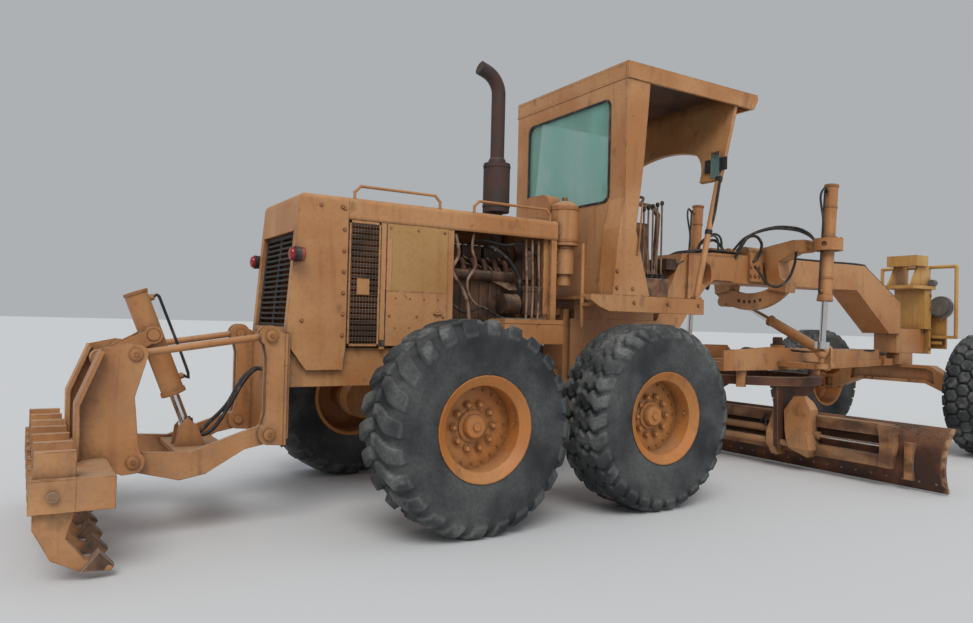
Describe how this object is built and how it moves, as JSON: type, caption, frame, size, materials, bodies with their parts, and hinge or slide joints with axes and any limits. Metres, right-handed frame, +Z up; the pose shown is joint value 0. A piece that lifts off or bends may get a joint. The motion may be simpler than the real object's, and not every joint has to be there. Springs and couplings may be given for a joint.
{
  "type": "motor grader",
  "caption": "Motor grader with articulated frame, open-sided cab, turning circle blade, leaning front wheels and a rear parallelogram ripper.",
  "frame": {"origin": "on the ground under the middle of the machine's box, at the rest pose", "axes": "+X forwards along the machine, +Y to its left, +Z up"},
  "size_m": [10.58, 4.27, 3.705],
  "materials": {
    "body_paint": "weathered semi-gloss tan orange paint",
    "panel_paint": "dusty ochre paint",
    "rim_paint": "orange paint, chipped",
    "tyre_rubber": "dusty worn rubber",
    "engine_metal": "oily painted casting",
    "black_paint": "flat black",
    "exhaust_steel": "heat-stained rust",
    "lamp_red": "gloss lens",
    "lamp_clear": "clear lens",
    "worn_steel": "worn dark steel",
    "chrome_rod": "polished",
    "tinted_glass": "green tinted",
    "dark_plastic": "matte",
    "seat_cover": "worn brown vinyl",
    "guard_paint": "yellow paint",
    "rust_brown": "rusted steel"
  },
  "bodies": {
    "rear_frame": {"rear_frame": "body_paint", "tandem_drive": "body_paint", "engine": "engine_metal", "hood": "body_paint", "radiator_guard": "body_paint", "grilles": "black_paint", "side_panels": "panel_paint", "side_boxes": "body_paint", "exhaust_stack": "exhaust_steel", "air_cleaner": "body_paint", "tail_lamps": "lamp_red", "ripper_bracket": "body_paint"},
    "wheel_rear_left": {"tyre_rear_left": "tyre_rubber", "rim_rear_left": "rim_paint"},
    "wheel_rear_right": {"tyre_rear_right": "tyre_rubber", "rim_rear_right": "rim_paint"},
    "wheel_mid_left": {"tyre_mid_left": "tyre_rubber", "rim_mid_left": "rim_paint"},
    "wheel_mid_right": {"tyre_mid_right": "tyre_rubber", "rim_mid_right": "rim_paint"},
    "wheel_front_left": {"tyre_front_left": "tyre_rubber", "rim_front_left": "rim_paint"},
    "wheel_front_right": {"tyre_front_right": "tyre_rubber", "rim_front_right": "rim_paint"},
    "ripper_arms": {"ripper_arms": "body_paint"},
    "ripper_links": {"ripper_links": "body_paint"},
    "ripper_carriage": {"ripper_carriage": "body_paint", "ripper_shanks": "body_paint"},
    "ripper_barrel": {"ripper_barrel": "body_paint"},
    "ripper_rod": {"ripper_rod": "chrome_rod"},
    "front_frame": {"front_frame": "body_paint", "cab_shell": "body_paint", "cab_front": "body_paint", "cab_roof": "body_paint", "cab_floor": "body_paint", "rear_window": "tinted_glass", "controls": "dark_plastic", "operator_seat": "seat_cover", "lift_arms": "body_paint", "front_axle": "body_paint", "front_guard": "guard_paint", "front_lamps": "lamp_clear"},
    "drawbar_ball": {"drawbar_ball": "worn_steel"},
    "drawbar": {"drawbar": "body_paint"},
    "circle": {"circle_ring": "rust_brown"},
    "blade_carrier": {"blade_carrier": "body_paint"},
    "moldboard": {"moldboard": "rust_brown", "side_shift_rod": "chrome_rod"},
    "shift_yoke": {"shift_yoke": "worn_steel"},
    "shift_rod": {"shift_rod": "chrome_rod"},
    "shift_barrel": {"shift_barrel": "body_paint"},
    "lift_barrel_left": {"lift_barrel_left": "body_paint"},
    "lift_rod_left": {"lift_rod_left": "chrome_rod"},
    "lean_left": {"lean_left": "body_paint"},
    "knuckle_left": {"knuckle_left": "body_paint"},
    "lift_barrel_right": {"lift_barrel_right": "body_paint"},
    "lift_rod_right": {"lift_rod_right": "chrome_rod"},
    "lean_right": {"lean_right": "body_paint"},
    "knuckle_right": {"knuckle_right": "body_paint"}
  },
  "joints": [
    {"name": "spin_rear_left", "type": "hinge", "parent": "rear_frame", "child": "wheel_rear_left", "pos_m": [-2.715, 1.17, 0.73], "axis": [0, 1, 0], "continuous": true},
    {"name": "spin_rear_right", "type": "hinge", "parent": "rear_frame", "child": "wheel_rear_right", "pos_m": [-2.715, -1.17, 0.73], "axis": [0, 1, 0], "continuous": true},
    {"name": "spin_mid_left", "type": "hinge", "parent": "rear_frame", "child": "wheel_mid_left", "pos_m": [-1.065, 1.17, 0.73], "axis": [0, 1, 0], "continuous": true},
    {"name": "spin_mid_right", "type": "hinge", "parent": "rear_frame", "child": "wheel_mid_right", "pos_m": [-1.065, -1.17, 0.73], "axis": [0, 1, 0], "continuous": true},
    {"name": "articulation", "type": "hinge", "parent": "rear_frame", "child": "front_frame", "pos_m": [-1.31, 0, 1.2], "axis": [0, 0, 1], "range_deg": [-20, 20]},
    {"name": "drawbar_swing", "type": "hinge", "parent": "front_frame", "child": "drawbar_ball", "pos_m": [4.31, 0, 1.06], "axis": [0, 0, 1], "range_deg": [-8, 8]},
    {"name": "drawbar_lift", "type": "hinge", "parent": "drawbar_ball", "child": "drawbar", "pos_m": [4.31, 0, 1.06], "axis": [0, 1, 0], "range_deg": [-8, 8]},
    {"name": "circle_turn", "type": "hinge", "parent": "drawbar", "child": "circle", "pos_m": [1.69, 0, 0.9], "axis": [0, 0, 1], "continuous": true},
    {"name": "blade_tip", "type": "hinge", "parent": "circle", "child": "blade_carrier", "pos_m": [1.44, 0, 0.27], "axis": [0, 1, 0], "range_deg": [-5, 30]},
    {"name": "blade_shift", "type": "slide", "parent": "blade_carrier", "child": "moldboard", "axis": [0, 1, 0], "range_m": [-0.6, 0.6]},
    {"name": "lift_swing_left", "type": "hinge", "parent": "front_frame", "child": "lift_barrel_left", "pos_m": [1.71, 0.9, 2.33], "axis": [0.9483, -0.3173, 0], "range_deg": [-20, 20]},
    {"name": "lift_stroke_left", "type": "slide", "parent": "lift_barrel_left", "child": "lift_rod_left", "axis": [0.0698, 0, 0.9976], "range_m": [-0.4, 0.4]},
    {"name": "lift_swing_right", "type": "hinge", "parent": "front_frame", "child": "lift_barrel_right", "pos_m": [1.71, -0.9, 2.33], "axis": [0.9483, 0.3173, 0], "range_deg": [-20, 20]},
    {"name": "lift_stroke_right", "type": "slide", "parent": "lift_barrel_right", "child": "lift_rod_right", "axis": [0.0698, 0, 0.9976], "range_m": [-0.4, 0.4]},
    {"name": "shift_yoke_turn", "type": "hinge", "parent": "front_frame", "child": "shift_yoke", "pos_m": [1.84, 0.39, 1.76], "axis": [-0.5882, 0.4893, 0.6438], "range_deg": [-14, 14]},
    {"name": "shift_swing", "type": "hinge", "parent": "shift_yoke", "child": "shift_rod", "pos_m": [1.925, 0.39, 1.76], "axis": [1, 0, 0], "range_deg": [-25, 25]},
    {"name": "shift_stroke", "type": "slide", "parent": "shift_rod", "child": "shift_barrel", "axis": [0, -0.8993, -0.4373], "range_m": [-0.4, 0.4]},
    {"name": "lean_left", "type": "hinge", "parent": "front_frame", "child": "lean_left", "pos_m": [4.56, 0.775, 0.73], "axis": [1, 0, 0], "range_deg": [-18, 18]},
    {"name": "lean_right", "type": "hinge", "parent": "front_frame", "child": "lean_right", "pos_m": [4.56, -0.775, 0.73], "axis": [1, 0, 0], "range_deg": [-18, 18]},
    {"name": "steer_left", "type": "hinge", "parent": "lean_left", "child": "knuckle_left", "pos_m": [4.56, 0.9, 0.73], "axis": [0, 0, 1], "range_deg": [-40, 40]},
    {"name": "steer_right", "type": "hinge", "parent": "lean_right", "child": "knuckle_right", "pos_m": [4.56, -0.9, 0.73], "axis": [0, 0, 1], "range_deg": [-40, 40]},
    {"name": "spin_front_left", "type": "hinge", "parent": "knuckle_left", "child": "wheel_front_left", "pos_m": [4.56, 1.19, 0.73], "axis": [0, 1, 0], "continuous": true},
    {"name": "spin_front_right", "type": "hinge", "parent": "knuckle_right", "child": "wheel_front_right", "pos_m": [4.56, -1.19, 0.73], "axis": [0, 1, 0], "continuous": true},
    {"name": "ripper_lift", "type": "hinge", "parent": "rear_frame", "child": "ripper_arms", "pos_m": [-3.89, 0, 0.64], "axis": [0, 1, 0], "range_deg": [-20, 40]},
    {"name": "ripper_link", "type": "hinge", "parent": "rear_frame", "child": "ripper_links", "pos_m": [-3.89, 0, 1.31], "axis": [0, 1, 0], "range_deg": [-20, 40]},
    {"name": "ripper_level", "type": "hinge", "parent": "ripper_arms", "child": "ripper_carriage", "pos_m": [-4.73, 0, 0.515], "axis": [0, 1, 0], "range_deg": [-40, 20]},
    {"name": "ripper_barrel_swing", "type": "hinge", "parent": "ripper_carriage", "child": "ripper_barrel", "pos_m": [-4.58, 0, 1.3], "axis": [0, 1, 0], "range_deg": [-10, 10]},
    {"name": "ripper_stroke", "type": "slide", "parent": "ripper_barrel", "child": "ripper_rod", "axis": [0.3575, 0, -0.9339], "range_m": [-0.2, 0.35]}
  ],
  "couplings": [
    {"joint": "lift_swing_left", "follows": "drawbar_swing", "ratio": -2.4234},
    {"joint": "lift_stroke_left", "follows": "drawbar_lift", "m_per_rad": 2.6758},
    {"joint": "lift_swing_right", "follows": "drawbar_swing", "ratio": -2.4234},
    {"joint": "lift_stroke_right", "follows": "drawbar_lift", "m_per_rad": 2.6758},
    {"joint": "shift_yoke_turn", "follows": "drawbar_swing", "ratio": 1.5391},
    {"joint": "shift_swing", "follows": "drawbar_lift", "ratio": -2.2},
    {"joint": "shift_stroke", "follows": "drawbar_swing", "m_per_rad": 2.1778},
    {"joint": "lean_right", "follows": "lean_left", "ratio": 1},
    {"joint": "steer_right", "follows": "steer_left", "ratio": 1},
    {"joint": "ripper_link", "follows": "ripper_lift", "ratio": 1},
    {"joint": "ripper_level", "follows": "ripper_lift", "ratio": -1},
    {"joint": "ripper_barrel_swing", "follows": "ripper_lift", "ratio": 0.13},
    {"joint": "ripper_stroke", "follows": "ripper_lift", "m_per_rad": 0.395}
  ]
}
